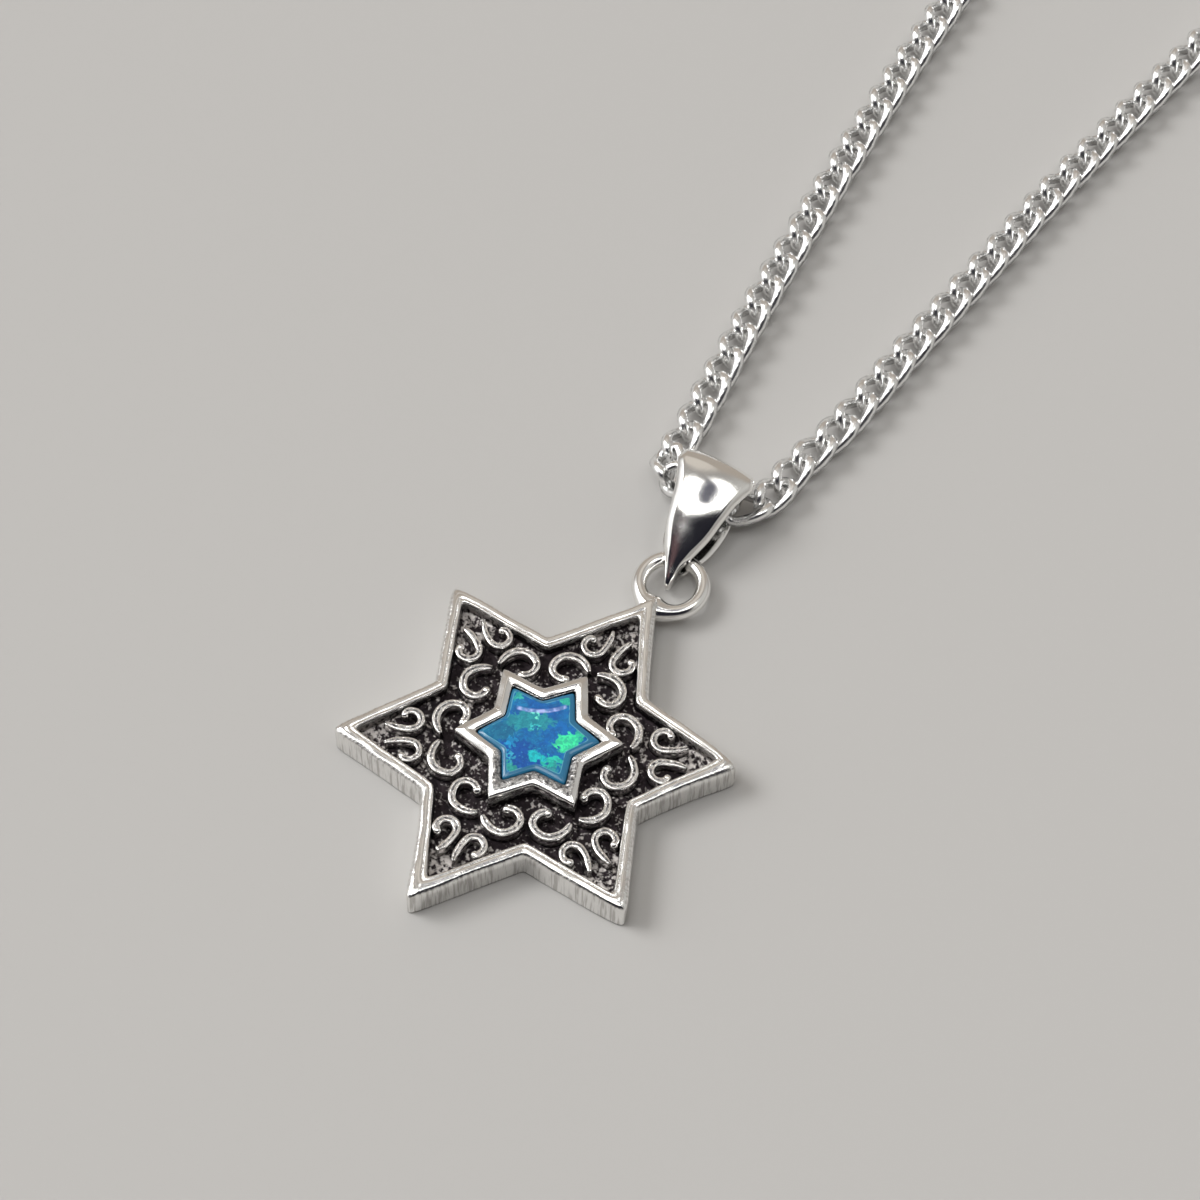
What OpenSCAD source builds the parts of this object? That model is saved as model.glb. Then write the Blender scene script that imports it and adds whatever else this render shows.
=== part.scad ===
// Six-pointed star pendant: a cast silver star with an inlaid opal star, hung from a folded
// bail on a curb chain. It lies on its flat back, and the arm with the ring points along +Y.

/* [Star] */
// Distance from the centre at which the straight sides of an arm would meet
star_point_r = 10.35; // [10.1:0.05:11.5]
// Distance from the centre to the corners between the arms
star_valley_r = 6.2; // [6:0.05:6.6]
// Distance from the centre to the five free tips, which are polished back
star_reach = 9.9; // [9.6:0.05:10.05]
// Thickness from the flat back to the top of the rim
star_t = 1.95; // [1.8:0.05:2.6]
// Width of the raised rim
rim_w = 0.65; // [0.5:0.05:0.8]
// Rounding of the rim's outer edge
rim_round = 0.35; // [0.1:0.05:0.45]
// Depth of the recess below the top of the rim
recess_depth = 0.8; // [0.5:0.05:1]

/* [Opal and its bezel] */
// Distance from the centre to the points of the bezel
bezel_point_r = 4.3; // [4.1:0.05:4.6]
// Distance from the centre to the inner corners of the bezel
bezel_valley_r = 2.7; // [2.5:0.05:2.9]
// Width of the bezel's band
bezel_w = 0.6; // [0.45:0.05:0.7]
// Rounding of the bezel's outer edge
bezel_round = 0.2; // [0.05:0.05:0.3]
// Height of the bezel above the rim
bezel_rise = 0.45; // [0.2:0.05:0.7]
// Thickness of the opal at its edge
opal_t = 1.05; // [0.8:0.05:1.2]
// Height of the opal's dome above its edge
opal_crown = 0.15; // [0.05:0.05:0.3]
// Gap all round the opal
opal_gap = 0.05; // [0.03:0.01:0.1]

/* [Scrolls] */
// Height of the scrolls above the floor of the recess
scroll_h = 0.7; // [0.4:0.05:0.9]
// Bend radius of the large scrolls' bow
large_bow_r = 0.87; // [0.75:0.01:0.9]
// Wire width of the large scrolls
large_wire_w = 0.46; // [0.3:0.02:0.5]
// Distance from a bezel point to the start of a large scroll
large_set = 0.42; // [0.36:0.02:0.5]
// Bend radius of the small scrolls' bow
small_bow_r = 0.52; // [0.42:0.01:0.55]
// Wire width of the small scrolls
small_wire_w = 0.38; // [0.26:0.02:0.44]
// Distance from a tip of the recess to the start of a small scroll
small_set = 1.6; // [1.5:0.05:1.8]

/* [Hanging ring] */
// Outer diameter of the ring soldered to the top arm
ring_d = 4.1; // [3.8:0.1:5]
// Wire thickness of the ring
ring_wire = 0.8; // [0.6:0.05:0.9]
// Depth to which the ring's wire is set into the top arm
ring_sink = 0.45; // [0.3:0.05:0.6]

/* [Bail] */
// Length of the bail
bail_l = 7.25; // [6.8:0.05:8]
// Greatest width of the bail
bail_w = 4.2; // [3.8:0.05:4.8]
// Height of the bail as it lies on its back leaf
bail_h = 3.75; // [3.5:0.05:4.1]
// Thickness of the bail's back leaf
bail_back_t = 0.35; // [0.3:0.05:0.4]
// Thickness of the bail's front leaf and fold at their edges
bail_front_t = 0.45; // [0.35:0.05:0.6]
// Length of solid metal where the two leaves meet
bail_web = 0.9; // [0.7:0.05:1.1]
// Height of the crown across the front leaf
bail_crown = 0.3; // [0.1:0.05:0.4]
// Angle by which the bail leans to the left
bail_turn = 11.5; // [0:0.5:16]
// Angle by which the bail has slid round the ring
bail_slide = 21; // [0:1:26]
// Play of the ring's wire in the bail, along the bail
ring_play = 0.35; // [0.3:0.05:0.6]
// Clearance round the ring's wire in the bail
wire_gap = 0.15; // [0.1:0.01:0.2]
// Clearance round the chain in the bail
chain_gap = 0.2; // [0.15:0.01:0.3]

/* [Chain] */
// Breadth of the chain over its links
chain_w = 1.6; // [1.4:0.05:1.7]

/* [Clasp] */
// Outer diameter of the clasp's ring
clasp_d = 6; // [5:0.1:7]
// Thickness of the clasp's ring
clasp_wire = 1.2; // [0.9:0.05:1.5]
// Outer diameter of the clasp's two end eyes
eye_d = 2.1; // [1.8:0.1:2.6]
// Wire thickness of the end eyes
eye_wire = 0.5; // [0.4:0.05:0.7]
// Gap between an end eye and the chain
end_gap = 0.2; // [0.1:0.05:0.4]

/* [Hidden] */
$fn = 48;

silver = [0.82, 0.82, 0.81];
bright_silver = [0.90, 0.90, 0.89];
chain_silver = [0.74, 0.75, 0.76];
opal_blue = [0.16, 0.45, 0.74];

arms = 6;
half_arm = 180 / arms;
lap = 0.1;
corner_cut = 0.04;
tip_round = 0.35;
edge_steps = 3;
floor_z = star_t - recess_depth;
bezel_z = star_t + bezel_rise;
seat_z = bezel_z - opal_t - opal_gap;
recess_point_r = star_point_r * inset_share(star_point_r, star_valley_r, rim_w);

ring_r = (ring_d - ring_wire) / 2;
ring_y = star_point_r + ring_d / 2 - ring_sink;
ring_z = star_t / 2;
solder_r = 0.7 * ring_wire;

hook_r = ring_wire / 2 + wire_gap;
hook_along = bail_web + hook_r;
fold_r = (bail_h - bail_crown - bail_front_t - bail_back_t) / 2;
fold_along = bail_l - bail_front_t - fold_r;
bail_dir = [-sin(bail_turn), cos(bail_turn)];
bail_foot = bail_web + ring_wire / 2 + ring_play;
bail_tip = [-ring_r * sin(bail_slide), ring_y + ring_r * cos(bail_slide)] - bail_foot * bail_dir;
chain_seat = bail_tip + (bail_l - bail_front_t - chain_w / 2 - chain_gap) * bail_dir;
chain_lift = bail_back_t + chain_gap;

// Scroll shapes from the tail to the ball: bend and width as shares of the bow and the wire
large_scroll = [
    // bend, turn, width
    [1.50, 42, 0.80],
    [1.00, 95, 1.00],
    [0.69, 125, 0.90],
];
large_tail = [0.22, -48];
small_scroll = [
    [4.60, 32, 0.85],
    [1.00, 185, 1.00],
    [0.60, 60, 0.90],
];
small_tail = [0.55, 25];
ball_share = 1.3;
joint_turn = 4;

// Bail sections: place along the length, underside and top as shares of the height,
// front and back half widths as shares of half the greatest width
bail_rows = [
    // along, under, top, front, back
    [0.000, 0.155, 0.300, 0.09, 0.05],
    [0.035, 0.095, 0.375, 0.13, 0.09],
    [0.100, 0.040, 0.460, 0.20, 0.15],
    [0.210, 0.005, 0.590, 0.37, 0.22],
    [0.350, 0.000, 0.735, 0.56, 0.30],
    [0.490, 0.000, 0.870, 0.67, 0.40],
    [0.630, 0.000, 0.955, 0.78, 0.52],
    [0.740, 0.005, 0.995, 0.91, 0.62],
    [0.825, 0.030, 1.000, 1.00, 0.69],
    [0.895, 0.100, 0.955, 0.98, 0.73],
    [0.945, 0.185, 0.850, 0.93, 0.72],
    [0.980, 0.295, 0.705, 0.79, 0.64],
    [1.000, 0.425, 0.595, 0.55, 0.48],
];
bail_steps = 2;
crown_points = 8;

// Centre line of the chain: across and along from its seat in the bail, in mm, and lift
// above lying flat, as a share of the lift at that seat
chain_route = [
    [-1, 188.7, 0], [8.5, 187.7, 0], [20.5, 183.2, 0], [31.5, 173.7, 0], [39, 159.7, 0],
    [42, 142.7, 0], [40.5, 125.7, 0], [34.5, 109.7, 0], [26.5, 95.7, 0], [17.5, 80.2, 0],
    [10.7, 63.7, 0], [6.6, 48.7, 0], [4.4, 31, 0], [3.75, 22, 0], [3.35, 14.5, 0],
    [3, 8, 0], [2.5, 4.4, 0], [2.5, 2.4, 0.2], [2.4, 1, 0.8], [1.4, 0, 1],
    [-0.6, -0.15, 1], [-2.3, -0.35, 0.9], [-3.4, 0.5, 0.35], [-3.5, 2.4, 0],
    [-3.75, 5.7, 0], [-4.7, 11.2, 0], [-5.6, 17.3, 0], [-6.5, 24.2, 0], [-7.3, 31, 0],
    [-8.2, 39.5, 0], [-10.8, 52.5, 0], [-15.5, 66.7, 0], [-22.5, 80.7, 0], [-30.5, 93.7, 0],
    [-39.5, 109.7, 0], [-45.5, 126.7, 0], [-46.5, 144.7, 0], [-42.5, 161.7, 0],
    [-33.5, 176.7, 0], [-20.5, 186.2, 0], [-10, 188.7, 0],
];
chain_sides = 8;
chain_steps = 2;

// Distance from the centre of a star to its straight sides
function side_distance(point_r, valley_r) =
    point_r * valley_r * sin(half_arm)
    / sqrt(point_r ^ 2 + valley_r ^ 2 - 2 * point_r * valley_r * cos(half_arm));

// Share to which a star shrinks when its sides move in by w
function inset_share(point_r, valley_r, w) = 1 - w / side_distance(point_r, valley_r);

function star_points(point_r, valley_r, share = 1) = [
    for (i = [0 : 2 * arms - 1])
        share * (i % 2 == 0 ? point_r : valley_r) * [sin(half_arm * i), cos(half_arm * i)]
];

// Ring of points round a star at height z: on each arm the three points of its blunt tip
// and the corner on its left. The top arm keeps its point for the hanging ring.
function star_ring(point_r, valley_r, z) =
    let (
        corner = valley_r * [sin(half_arm), cos(half_arm)],
        spread = corner.x / (point_r - corner.y)
    ) [
        for (k = [0 : arms - 1])
            let (
                end = k == 0 ? star_point_r : star_reach,
                cut = max(point_r - end, corner_cut),
                shoulder = cut * (1 + tip_round),
                side = shoulder * spread,
                turn = 2 * half_arm * k
            )
            for (p = [
                [side, point_r - shoulder],
                [0, point_r - cut],
                [-side, point_r - shoulder],
                [-corner.x, corner.y]
            ])
                [p.x * cos(turn) - p.y * sin(turn), p.x * sin(turn) + p.y * cos(turn), z]
    ];

function inset_ring(point_r, valley_r, w, z) =
    let (share = inset_share(point_r, valley_r, w))
    star_ring(share * point_r, share * valley_r, z);

// Rings up the outer wall of a band with a rounded top edge, and back down its inner wall
function band_rings(point_r, valley_r, w, low, high, inner_low, round_r) = [
    star_ring(point_r, valley_r, low),
    for (k = [0 : edge_steps])
        let (a = 90 * k / edge_steps)
        inset_ring(point_r, valley_r, round_r * (1 - cos(a)), high - round_r * (1 - sin(a))),
    inset_ring(point_r, valley_r, w, high),
    inset_ring(point_r, valley_r, w, inner_low)
];

// Point at share t between b and c on the smooth curve through a, b, c and d
function between(a, b, c, d, t) =
    b + t * (c - a) / 2
    + t ^ 2 * (2 * a - 5 * b + 4 * c - d) / 2
    + t ^ 3 * (3 * b - a - 3 * c + d) / 2;

// Rows of a smooth curve through the given rows, with the given steps from row to row
function smooth(rows, steps) = let (last = len(rows) - 1) [
    for (i = [0 : last - 1], k = [0 : steps - 1])
        between(
            i == 0 ? 2 * rows[0] - rows[1] : rows[i - 1],
            rows[i],
            rows[i + 1],
            i == last - 1 ? 2 * rows[last] - rows[last - 1] : rows[i + 2],
            k / steps
        ),
    rows[last]
];

function unit(v) = v / norm(v);

function middle(ring) = [for (p = ring) 1 / len(ring)] * ring;

// Closed skin through rings of points that all hold the same count
module loft(rings) {
    n = len(rings[0]);
    m = len(rings);
    points = concat([for (ring = rings) each ring], [middle(rings[0]), middle(rings[m - 1])]);
    first_end = [for (j = [0 : n - 1]) [j, (j + 1) % n, n * m]];
    sides = [
        for (i = [0 : m - 2], j = [0 : n - 1])
            let (a = i * n + j, b = i * n + (j + 1) % n)
            each [[a, a + n, b], [b, a + n, b + n]]
    ];
    last_end = [for (j = [0 : n - 1]) [(m - 1) * n + (j + 1) % n, (m - 1) * n + j, n * m + 1]];
    polyhedron(points, concat(first_end, sides, last_end));
}

module on_each_arm() {
    for (k = [0 : arms - 1]) rotate(-2 * half_arm * k) children();
}

module both_hands() {
    children();
    mirror([1, 0, 0]) children();
}

// Flat back, side wall, rim, recess floor, bezel and the seat of the opal in one casting
module casting() {
    loft(concat(
        band_rings(star_point_r, star_valley_r, rim_w, 0, star_t, floor_z, rim_round),
        band_rings(
            bezel_point_r, bezel_valley_r, bezel_w, floor_z, bezel_z, seat_z, bezel_round
        )
    ));
}

// Upright wire with a round top, standing on the recess floor
module wire_section(w, axis_z) {
    translate([-w / 2, -lap]) square([w, axis_z + lap]);
    translate([0, axis_z]) circle(w / 2);
}

// Scroll that starts at the origin along +Y and curls to the right, ending in a ball
module scroll(rows, bow_r, wire_w, i = 0) {
    if (i < len(rows)) {
        bend = rows[i][0] * bow_r;
        turn = rows[i][1];
        translate([bend, 0, 0])
            rotate(180 - turn)
            rotate_extrude(angle = turn + joint_turn)
            translate([bend, 0])
            wire_section(rows[i][2] * wire_w, scroll_h - wire_w / 2);
        translate(bend * [1 - cos(turn), sin(turn), 0])
            rotate(-turn)
            scroll(rows, bow_r, wire_w, i + 1);
    } else {
        ball_r = ball_share * wire_w / 2;
        translate([0, 0, -lap]) cylinder(r = ball_r, h = scroll_h - ball_r + lap);
        translate([0, 0, scroll_h - ball_r]) sphere(ball_r);
    }
}

module scrolls() {
    translate([0, 0, floor_z]) on_each_arm() both_hands() {
        translate([large_tail[0], bezel_point_r + large_set, 0])
            rotate(large_tail[1])
            scroll(large_scroll, large_bow_r, large_wire_w);
        translate([small_tail[0], recess_point_r - small_set, 0])
            rotate(180 - small_tail[1])
            mirror([1, 0, 0])
            scroll(small_scroll, small_bow_r, small_wire_w);
    }
}

// Ring soldered to the point of the top arm
module hanging_ring() {
    translate([0, ring_y, ring_z]) rotate_extrude() translate([ring_r, 0]) circle(ring_wire / 2);
    translate([0, ring_y - ring_r - solder_r / 2, ring_z - ring_wire / 2])
        cylinder(r = solder_r, h = ring_wire);
}

module star() {
    color(silver) {
        casting();
        scrolls();
        hanging_ring();
    }
}

module opal() {
    share = inset_share(bezel_point_r, bezel_valley_r, bezel_w + opal_gap);
    reach = share * bezel_point_r;
    dome_r = (reach ^ 2 + opal_crown ^ 2) / (2 * opal_crown);
    top_z = bezel_z + opal_crown;
    color(opal_blue) intersection() {
        translate([0, 0, seat_z + opal_gap])
            linear_extrude(opal_t + opal_crown)
            polygon(star_points(bezel_point_r, bezel_valley_r, share));
        rotate_extrude() intersection() {
            translate([0, top_z - dome_r]) circle(dome_r, $fn = 720);
            square([reach + lap, top_z + lap]);
        }
    }
}

// Outline of the bail across its length, front leaf on top
function bail_ring(row) =
    let (
        under = row[1] * bail_h,
        top = row[2] * bail_h,
        front = row[3] * bail_w / 2,
        back = row[4] * bail_w / 2,
        crown = row[3] * bail_crown,
        edge = row[4] * bail_back_t / 2
    ) [
        for (i = [0 : crown_points])
            let (share = 2 * i / crown_points - 1)
            [share * front, row[0] * bail_l, top - crown * share ^ 2],
        [back, row[0] * bail_l, under + edge],
        [back - edge, row[0] * bail_l, under],
        [edge - back, row[0] * bail_l, under],
        [-back, row[0] * bail_l, under + edge]
    ];

// Way through the bail, seen from its side: it follows the front leaf from the ring to the fold
module bail_way() {
    hook = [hook_along, ring_z];
    fold = [fold_along, bail_back_t + fold_r];
    under_leaf = [
        for (row = smooth(bail_rows, bail_steps))
            if (row[0] * bail_l > hook.x && row[0] * bail_l < fold.x)
                [row[0] * bail_l, row[2] * bail_h - row[3] * bail_crown - bail_front_t]
    ];
    translate(hook) circle(hook_r);
    translate(fold) circle(fold_r);
    polygon(concat(
        [hook + [0, hook_r]],
        under_leaf,
        [fold + [0, fold_r], fold - [0, fold_r], hook - [0, hook_r]]
    ));
}

module bail() {
    color(bright_silver)
        translate([bail_tip.x, bail_tip.y, 0])
        rotate(bail_turn)
        difference() {
            loft([for (row = smooth(bail_rows, bail_steps)) bail_ring(row)]);
            translate([-bail_w, 0, 0])
                rotate([90, 0, 90])
                linear_extrude(2 * bail_w)
                bail_way();
        }
}

function chain_line() = [
    for (row = smooth(chain_route, chain_steps))
        [chain_seat.x + row.x, chain_seat.y + row.y, chain_w / 2 + row.z * chain_lift]
];

// Ring of tube points square to the line at point i
function tube_ring(line, i, r, sides) =
    let (
        along = unit(line[min(i + 1, len(line) - 1)] - line[max(i - 1, 0)]),
        across = unit(cross(along, [0, 0, 1])),
        up = cross(across, along)
    ) [
        for (k = [0 : sides - 1])
            let (a = 360 * (k + 0.5) / sides)
            line[i] + r * (cos(a) * across + sin(a) * up)
    ];

module chain() {
    line = chain_line();
    chain_r = chain_w / 2 / cos(180 / chain_sides);
    color(chain_silver)
        loft([for (i = [0 : len(line) - 1]) tube_ring(line, i, chain_r, chain_sides)]);
}

// Plain ring clasp with an end eye on each side, between the two ends of the chain
module clasp() {
    line = chain_line();
    first = line[0];
    last = line[len(line) - 1];
    middle = (first + last) / 2;
    eye_x = norm(first - last) / 2 - end_gap - eye_d / 2;
    color(silver)
        translate([middle.x, middle.y, clasp_wire / 2]) {
            rotate_extrude() translate([(clasp_d - clasp_wire) / 2, 0]) circle(clasp_wire / 2);
            for (side = [-1, 1])
                translate([side * eye_x, 0, 0])
                rotate_extrude()
                translate([(eye_d - eye_wire) / 2, 0])
                circle(eye_wire / 2);
        }
}

star();
opal();
bail();
chain();
clasp();
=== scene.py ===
"""Star pendant with an opal star, on its bail and curb chain, lying face up on a plain floor."""
import math

import bpy
import numpy as np
from mathutils import Matrix, Vector


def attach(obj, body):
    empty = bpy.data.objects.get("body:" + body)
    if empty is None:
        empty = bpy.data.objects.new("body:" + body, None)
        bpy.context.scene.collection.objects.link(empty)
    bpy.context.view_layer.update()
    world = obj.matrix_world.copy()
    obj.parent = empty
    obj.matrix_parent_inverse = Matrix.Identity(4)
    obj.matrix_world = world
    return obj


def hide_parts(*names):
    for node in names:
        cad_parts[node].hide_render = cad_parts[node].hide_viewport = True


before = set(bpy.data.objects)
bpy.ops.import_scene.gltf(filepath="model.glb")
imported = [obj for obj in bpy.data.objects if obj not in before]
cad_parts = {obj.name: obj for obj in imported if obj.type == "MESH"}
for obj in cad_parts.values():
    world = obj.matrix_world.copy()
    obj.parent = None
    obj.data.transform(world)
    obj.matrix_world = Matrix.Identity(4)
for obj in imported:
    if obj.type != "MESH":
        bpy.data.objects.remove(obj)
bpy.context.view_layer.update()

# Stage: a plain pale floor under plain soft light. A broad white light is overhead, a window on the
# left, the walls are pale, and the side of the room from which the object is seen is dark.
mm = 0.001
view_azimuth = math.radians(33.3)
view_elevation = math.radians(58.92)
view_roll = math.radians(1.99)
view_distance = 165.03 * mm
view_target = np.array([-2.79, 9.59, 0.0]) * mm
lens_length = 96.0
sensor_width = 36.0
floor_size = 4.0
floor_colour = (0.495, 0.485, 0.470)
room_colour = (0.34, 0.325, 0.31)
room_lights = [
    # side (0 beyond, 90 right, 180 viewer), elevation, angles of full light and of none, colour
    (0, 20, 32, 56, (0.40, 0.355, 0.31)),
    (0, 56, 12, 17, (0.62, 0.575, 0.52)),
    (90, 35, 14, 40, (0.52, 0.51, 0.49)),
    (275, 32, 16, 36, (1.25, 1.25, 1.25)),
    (100, 75, 12, 16, (3.20, 3.20, 3.15)),
    (216, 82, 16, 18.5, (4.20, 4.18, 4.12)),
    (93, 83, 9, 12.5, (0.12, 0.12, 0.15)),
    (205, 40, 24, 29, (0.012, 0.012, 0.018)),
    (182, 45, 22, 27, (0.014, 0.014, 0.020)),
    (150, 45, 22, 28, (0.014, 0.014, 0.020)),
    (220, 56, 9.5, 11.5, (0.014, 0.014, 0.020)),
    (200, 60, 7.5, 9.5, (0.014, 0.014, 0.020)),
    (214, 57, 4, 9, (0.110, 0.065, 0.070)),
]
window_side = 285
window_elevation = 48
window_strength = 1.5
window_spread = math.radians(28)


def heading(side, elevation):
    """Unit vector (sin s cos e, cos s cos e, sin e), with s the side as counted in room_lights, less
    the view's azimuth, and e the elevation, both in degrees."""
    turn = math.radians(side) - view_azimuth
    lift = math.radians(elevation)
    return (math.sin(turn) * math.cos(lift), math.cos(turn) * math.cos(lift), math.sin(lift))


class Value:
    """Output of a shader node. Sums, products and powers of Values add Math nodes to its tree."""

    def __init__(self, tree, socket):
        self.tree = tree
        self.socket = socket

    def math(self, operation, *terms):
        """Output of a Math node on terms, which are numbers or Values."""
        return self.tree.add("ShaderNodeMath", {"operation": operation}, dict(enumerate(terms)))

    def __add__(self, other):
        return self.math("ADD", self, other)

    def __sub__(self, other):
        return self.math("SUBTRACT", self, other)

    def __rsub__(self, other):
        return self.math("SUBTRACT", other, self)

    def __mul__(self, other):
        return self.math("MULTIPLY", self, other)

    def __truediv__(self, other):
        return self.math("DIVIDE", self, other)

    def __pow__(self, other):
        return self.math("POWER", self, other)

    __radd__ = __add__
    __rmul__ = __mul__


class Tree:
    """Shader tree of a material or world. Its methods add nodes and give what the last one puts out."""

    def __init__(self, owner):
        owner.use_nodes = True
        self.nodes = owner.node_tree.nodes
        self.links = owner.node_tree.links
        self.nodes.clear()

    def add(self, kind, settings=None, sockets=None, out=0):
        """Any node: its settings are made first, and then its sockets get values or links."""
        node = self.nodes.new(kind)
        for name, value in (settings or {}).items():
            setattr(node, name, value)
        for name, value in (sockets or {}).items():
            if isinstance(value, Value):
                self.links.new(value.socket, node.inputs[name])
            elif isinstance(value, tuple) and node.inputs[name].type == "RGBA":
                node.inputs[name].default_value = (*value, 1.0)
            else:
                node.inputs[name].default_value = value
        return Value(self, node.outputs[out]) if len(node.outputs) else None

    def mix(self, share, first, second):
        """Colour that goes from first to second as share goes from 0 to 1."""
        return self.add("ShaderNodeMix", {"data_type": "RGBA"}, {0: share, 6: first, 7: second}, out=2)

    def rise(self, value, low, high):
        """0 at low and 1 at high, smooth between them and level beyond. Either may be the larger."""
        sockets = {"Value": value, "From Min": low, "From Max": high}
        return self.add("ShaderNodeMapRange", {"interpolation_type": "SMOOTHSTEP"}, sockets)

    def vector(self, operation, first, second, out=0):
        """Vector Math on two vectors. Its output 0 is a vector and its output 1 a number."""
        return self.add("ShaderNodeVectorMath", {"operation": operation}, {0: first, 1: second}, out)

    def place(self, stretch=(1.0, 1.0, 1.0)):
        """Where a point lies on the object in mm, each axis multiplied by its stretch."""
        where = self.add("ShaderNodeTexCoord", out=3)
        return self.vector("MULTIPLY", where, tuple(s / mm for s in stretch))

    def noise(self, where, scale, detail, roughness=0.5):
        """Soft noise, mostly from 0.3 to 0.7, whose spots are about 1 / scale wide."""
        sockets = {"Vector": where, "Scale": scale, "Detail": detail, "Roughness": roughness}
        return self.add("ShaderNodeTexNoise", None, sockets)

    def bump(self, height, depth):
        """Normal of the surface raised by height, 0 to 1, times depth in mm."""
        return self.add("ShaderNodeBump", None, {"Height": height, "Distance": depth * mm})

    def turned(self, where, x, y, turn):
        """Place seen from (x, y): its distance along the direction at turn degrees, and to its left."""
        c, s = math.cos(math.radians(turn)), math.sin(math.radians(turn))
        off = self.vector("SUBTRACT", where, (x, y, 0.0))
        ahead = self.vector("DOT_PRODUCT", off, (c, s, 0.0), out=1)
        return ahead, self.vector("DOT_PRODUCT", off, (-s, c, 0.0), out=1)

    def attribute(self, name):
        """What the mesh holds under this name at each point."""
        return self.add("ShaderNodeAttribute", {"attribute_name": name}, out=2)

    def principled(self, **sockets):
        """Shader with these sockets, each named with _ for a space, put out as the surface."""
        named = {name.replace("_", " "): value for name, value in sockets.items()}
        shader = self.add("ShaderNodeBsdfPrincipled", None, named)
        self.add("ShaderNodeOutputMaterial", None, {"Surface": shader})


# The camera looks down at view_target and is rolled about its line of sight.
camera_data = bpy.data.cameras.new("view")
camera_data.lens = lens_length
camera_data.sensor_width = sensor_width
camera_data.clip_start = mm
camera = bpy.data.objects.new("view", camera_data)
bpy.context.scene.collection.objects.link(camera)
bpy.context.scene.camera = camera
backward = np.array(heading(180, math.degrees(view_elevation)))
level = np.array([math.cos(view_azimuth), math.sin(view_azimuth), 0])
upward = np.cross(backward, level)
pose = np.eye(4)
pose[:3, 0] = math.cos(view_roll) * level + math.sin(view_roll) * upward
pose[:3, 1] = math.cos(view_roll) * upward - math.sin(view_roll) * level
pose[:3, 2] = backward
pose[:3, 3] = view_target + view_distance * backward
camera.matrix_world = Matrix(pose)
bpy.context.scene.view_settings.view_transform = "Standard"

# Each light of the room is a soft-edged disc on the sky, laid over the ones before it.
bpy.context.scene.world = bpy.data.worlds.new("room")
room = Tree(bpy.context.scene.world)
gaze = room.add("ShaderNodeTexCoord")
glow = room_colour
for side, elevation, full, none, colour in room_lights:
    nearness = room.vector("DOT_PRODUCT", gaze, heading(side, elevation), out=1)
    reach = room.rise(nearness, math.cos(math.radians(none)), math.cos(math.radians(full)))
    glow = room.mix(reach, glow, colour)
background = room.add("ShaderNodeBackground", None, {"Color": glow})
room.add("ShaderNodeOutputWorld", None, {"Surface": background})

window_light = bpy.data.lights.new("window", "SUN")
window_light.energy = window_strength
window_light.angle = window_spread
window = bpy.data.objects.new("window", window_light)
bpy.context.scene.collection.objects.link(window)
towards_window = Vector(heading(window_side, window_elevation))
window.rotation_euler = towards_window.to_track_quat("Z", "Y").to_euler()

floor_paint = bpy.data.materials.new("floor_paint")
Tree(floor_paint).principled(Base_Color=floor_colour, Roughness=0.75)
edge = floor_size / 2
floor_mesh = bpy.data.meshes.new("floor")
floor_corners = [(-edge, -edge, 0), (edge, -edge, 0), (edge, edge, 0), (-edge, edge, 0)]
floor_mesh.from_pydata(floor_corners, [], [(0, 1, 2, 3)])
floor_mesh.materials.append(floor_paint)
floor = bpy.data.objects.new("floor", floor_mesh)
bpy.context.scene.collection.objects.link(floor)

# Star: six arms cast in silver, with a raised rim, a sunken floor that is grainy and darkened by
# oxidation, and a raised bezel in the middle. Rim and bezel are polished, their edges worn round.
arms = 6
star_point = 10.35
star_valley = 6.2
star_reach = 9.9
back_chamfer = 0.06
wall_ease = 0.05
wall_heights = np.linspace(0.2, 1.5, 8)
shoulder_height = 1.60
shoulder_rise = 0.33
shoulder_width = 0.27
shoulder_ease = 0.06
rim_width = 0.65
rim_ease = 0.08
floor_height = 1.15
floor_edge = 0.85
floor_rows = 26
floor_to_bezel_point = 0.25
floor_to_bezel_valley = 0.15
bezel_point = 4.3
bezel_valley = 2.7
bezel_width = 0.6
bezel_height = 2.4
bezel_ease = 0.06
bezel_shift = np.array([0.03, 0.19])
press_depth = 0.13
press_run = 2.6
seat_height = 1.3
edge_points = 36
rim_rows = [
    # distance in from the rim's outline, height, rounding of points, patina (0 polished to 1 black)
    (0.33, 1.945, 0.34, 0.0),
    (0.39, 1.94, 0.32, 0.0),
    (0.43, 1.925, 0.30, 0.0),
    (0.465, 1.905, 0.28, 0.38),
    (0.50, 1.912, 0.26, 0.38),
    (0.52, 1.93, 0.25, 0.0),
    (0.545, 1.935, 0.24, 0.0),
    (0.585, 1.935, 0.22, 0.0),
    (0.62, 1.915, 0.2, 0.0),
    (0.645, 1.875, 0.2, 0.05),
    (0.655, 1.81, 0.2, 0.3),
    (0.66, 1.7, 0.2, 0.55),
    (0.66, 1.55, 0.2, 0.70),
    (0.66, 1.4, 0.2, 0.85),
    (0.66, 1.27, 0.2, 0.98),
    (0.69, 1.19, 0.2, 1.0),
    (0.75, 1.155, 0.2, 1.0),
]
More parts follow.
